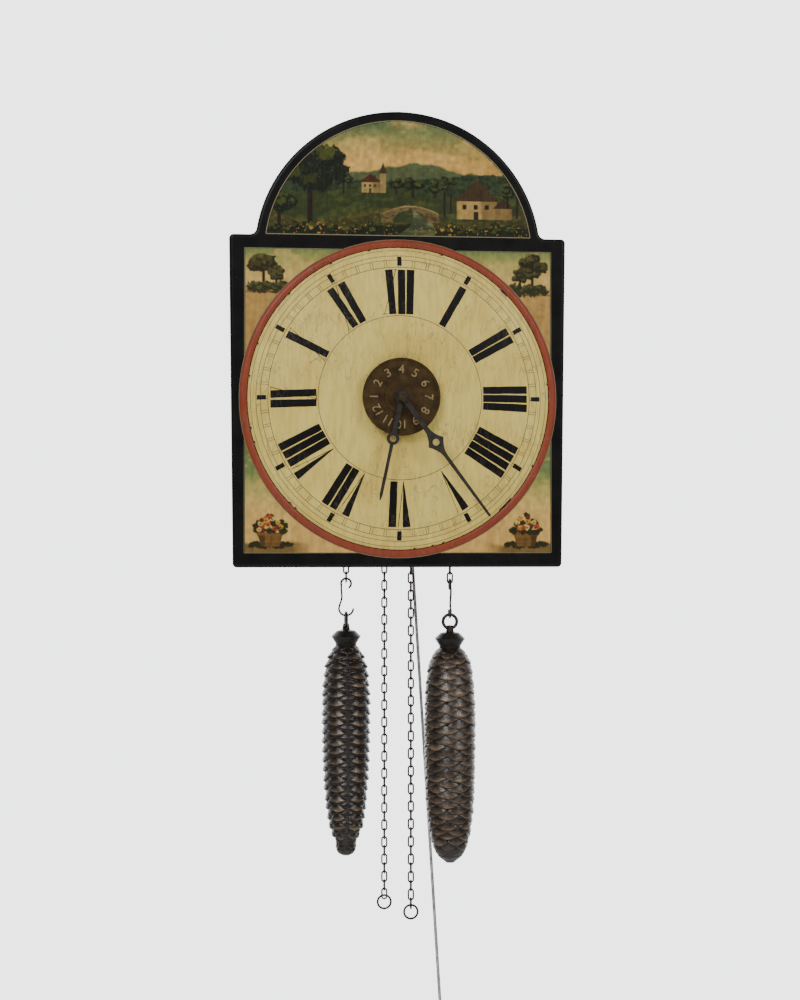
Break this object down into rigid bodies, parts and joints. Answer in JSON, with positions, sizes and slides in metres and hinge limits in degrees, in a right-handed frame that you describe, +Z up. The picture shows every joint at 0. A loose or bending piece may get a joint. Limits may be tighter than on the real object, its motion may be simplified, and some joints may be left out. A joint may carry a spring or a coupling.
{
  "type": "shield clock",
  "caption": "Weight driven wall clock with an arched painted shield dial, chain and cone weight trains, alarm disc, bell, wooden movement and rear pendulum.",
  "frame": {"origin": "centre of the hole in the hanger plate at the top back of the movement, on the plate's rear face", "axes": "+Z up, the dial faces -Y, the wall is on the +Y side, +X to the viewer's right"},
  "size_m": [0.2432, 0.1439, 0.7306],
  "materials": {
    "shield_paint": "painted wood, cream dial, dark border, red ring, aged",
    "case_wood": "old oiled beech, brown",
    "peg_wood": "turned hardwood, worn",
    "brass": "old brass, dull",
    "alarm_brass": "brown patinated brass with raised numbers",
    "steel": "bright iron wire and arbors",
    "dark_iron": "black lacquered iron, glossy",
    "hand_black": "black pressed metal",
    "chain_brass": "dull brass wire links",
    "weight_iron": "brown painted cast iron with scales",
    "bell_bronze": "cast bell metal",
    "bob_brass": "polished brass sheet"
  },
  "bodies": {
    "movement": {"front_plate": "case_wood", "back_plate": "case_wood", "plate_bushes": "brass", "top_board": "case_wood", "bottom_board": "case_wood", "hanger_plate": "steel", "hanger_nails": "steel", "wall_pegs": "peg_wood", "shield_board": "shield_paint", "upper_batten": "case_wood", "lower_batten": "case_wood", "shield_pegs": "peg_wood", "minute_stud": "steel", "pendulum_bracket": "steel", "bell": "bell_bronze", "bell_post": "steel", "going_chain_in_case": "chain_brass", "alarm_chain_in_case": "chain_brass"},
    "centre_wheel": {"centre_wheel": "brass", "centre_arbor": "steel", "hand_nut": "brass"},
    "minute_hand": {"minute_hand": "hand_black", "cannon_pinion": "brass"},
    "minute_wheel": {"minute_wheel": "brass"},
    "hour_hand": {"hour_hand": "hand_black", "hour_wheel": "brass"},
    "alarm_disc": {"alarm_disc": "alarm_brass", "alarm_cam": "brass"},
    "great_wheel": {"great_wheel": "brass", "great_arbor": "steel"},
    "third_wheel": {"third_wheel": "brass", "third_arbor": "steel"},
    "escape_wheel": {"escape_wheel": "brass", "escape_arbor": "steel"},
    "anchor": {"anchor": "steel", "anchor_arbor": "steel", "crutch": "steel"},
    "pendulum": {"pendulum_rod": "steel", "pendulum_bob": "bob_brass", "rating_nut": "steel"},
    "going_sprocket": {"going_sprocket": "steel"},
    "going_weight": {"going_weight": "weight_iron", "going_weight_cap": "dark_iron", "going_weight_ring": "chain_brass", "going_hook": "steel", "going_chain_weight_side": "chain_brass"},
    "going_free_chain": {"going_chain_free_side": "chain_brass"},
    "alarm_wheel": {"alarm_wheel": "brass", "alarm_arbor": "steel", "alarm_sprocket": "steel"},
    "alarm_weight": {"alarm_weight": "weight_iron", "alarm_weight_cap": "dark_iron", "alarm_weight_ring": "chain_brass", "alarm_hook": "steel", "alarm_chain_weight_side": "chain_brass"},
    "alarm_free_chain": {"alarm_chain_free_side": "chain_brass"},
    "alarm_hammer": {"alarm_hammer": "steel"},
    "alarm_lever": {"alarm_lever": "steel"},
    "left_door": {"left_side_door": "case_wood"},
    "right_door": {"right_side_door": "case_wood"}
  },
  "joints": [
    {"name": "centre_wheel_turn", "type": "hinge", "parent": "movement", "child": "centre_wheel", "pos_m": [0, -0.06, -0.106], "axis": [0, 1, 0], "continuous": true},
    {"name": "minute_hand_turn", "type": "hinge", "parent": "centre_wheel", "child": "minute_hand", "pos_m": [0, -0.085, -0.106], "axis": [0, 1, 0], "continuous": true},
    {"name": "minute_wheel_turn", "type": "hinge", "parent": "movement", "child": "minute_wheel", "pos_m": [-0.018, -0.074, -0.106], "axis": [0, 1, 0], "continuous": true},
    {"name": "hour_hand_turn", "type": "hinge", "parent": "movement", "child": "hour_hand", "pos_m": [0, -0.078, -0.106], "axis": [0, 1, 0], "continuous": true},
    {"name": "alarm_disc_turn", "type": "hinge", "parent": "hour_hand", "child": "alarm_disc", "pos_m": [0, -0.108, -0.106], "axis": [0, 1, 0], "continuous": true},
    {"name": "great_wheel_turn", "type": "hinge", "parent": "movement", "child": "great_wheel", "pos_m": [-0.018, -0.025, -0.13548], "axis": [0, 1, 0], "continuous": true},
    {"name": "third_wheel_turn", "type": "hinge", "parent": "movement", "child": "third_wheel", "pos_m": [-0.01269, -0.049, -0.07317], "axis": [0, 1, 0], "continuous": true},
    {"name": "escape_wheel_turn", "type": "hinge", "parent": "movement", "child": "escape_wheel", "pos_m": [0.0088, -0.032, -0.06], "axis": [0, 1, 0], "continuous": true},
    {"name": "pendulum_swing", "type": "hinge", "parent": "movement", "child": "pendulum", "pos_m": [0.0088, 0.0065, -0.03737], "axis": [0, 1, 0], "range_deg": [-1.4, 8.6]},
    {"name": "anchor_rock", "type": "hinge", "parent": "movement", "child": "anchor", "pos_m": [0.0088, -0.032, -0.03737], "axis": [0, 1, 0], "range_deg": [-1.4, 8.6]},
    {"name": "going_weight_drop", "type": "slide", "parent": "movement", "child": "going_weight", "axis": [0, 0, -1], "range_m": [0, 0.0387], "deforming": ["going_chain_in_case"]},
    {"name": "going_chain_rise", "type": "slide", "parent": "movement", "child": "going_free_chain", "axis": [0, 0, 1], "range_m": [0, 0.0387]},
    {"name": "going_sprocket_turn", "type": "hinge", "parent": "movement", "child": "going_sprocket", "pos_m": [-0.018, -0.0175, -0.13548], "axis": [0, 1, 0], "range_deg": [-155, 0]},
    {"name": "alarm_weight_drop", "type": "slide", "parent": "movement", "child": "alarm_weight", "axis": [0, 0, -1], "range_m": [0, 0.0387], "deforming": ["alarm_chain_in_case"]},
    {"name": "alarm_chain_rise", "type": "slide", "parent": "movement", "child": "alarm_free_chain", "axis": [0, 0, 1], "range_m": [0, 0.0387]},
    {"name": "alarm_wheel_turn", "type": "hinge", "parent": "movement", "child": "alarm_wheel", "pos_m": [0.027, -0.0555, -0.13548], "axis": [0, 1, 0], "range_deg": [0, 155]},
    {"name": "alarm_hammer_strike", "type": "hinge", "parent": "movement", "child": "alarm_hammer", "pos_m": [0.04082, -0.0355, -0.11901], "axis": [0, 1, 0], "range_deg": [-1.1, 2.8], "stiffness_Nm_per_rad": 0.03},
    {"name": "alarm_lever_lift", "type": "hinge", "parent": "movement", "child": "alarm_lever", "pos_m": [0.025, -0.06, -0.1155], "axis": [0, 1, 0], "range_deg": [-5, 5]},
    {"name": "left_door_swing", "type": "hinge", "parent": "movement", "child": "left_door", "pos_m": [-0.0577, -0.005, -0.106], "axis": [0, 0, 1], "range_deg": [-100, 0]},
    {"name": "right_door_swing", "type": "hinge", "parent": "movement", "child": "right_door", "pos_m": [0.0577, -0.005, -0.106], "axis": [0, 0, 1], "range_deg": [0, 100]}
  ],
  "couplings": [
    {"joint": "minute_wheel_turn", "follows": "minute_hand_turn", "ratio": -0.33333},
    {"joint": "hour_hand_turn", "follows": "minute_hand_turn", "ratio": 0.083333},
    {"joint": "centre_wheel_turn", "follows": "pendulum_swing", "ratio": 0.0075},
    {"joint": "great_wheel_turn", "follows": "pendulum_swing", "ratio": -0.00125},
    {"joint": "third_wheel_turn", "follows": "pendulum_swing", "ratio": -0.075},
    {"joint": "escape_wheel_turn", "follows": "pendulum_swing", "ratio": 0.6},
    {"joint": "anchor_rock", "follows": "pendulum_swing", "ratio": 1},
    {"joint": "going_chain_rise", "follows": "going_weight_drop", "ratio": 1},
    {"joint": "going_sprocket_turn", "follows": "going_weight_drop", "rad_per_m": -69.581},
    {"joint": "alarm_chain_rise", "follows": "alarm_weight_drop", "ratio": 1},
    {"joint": "alarm_wheel_turn", "follows": "alarm_weight_drop", "rad_per_m": 69.581}
  ]
}
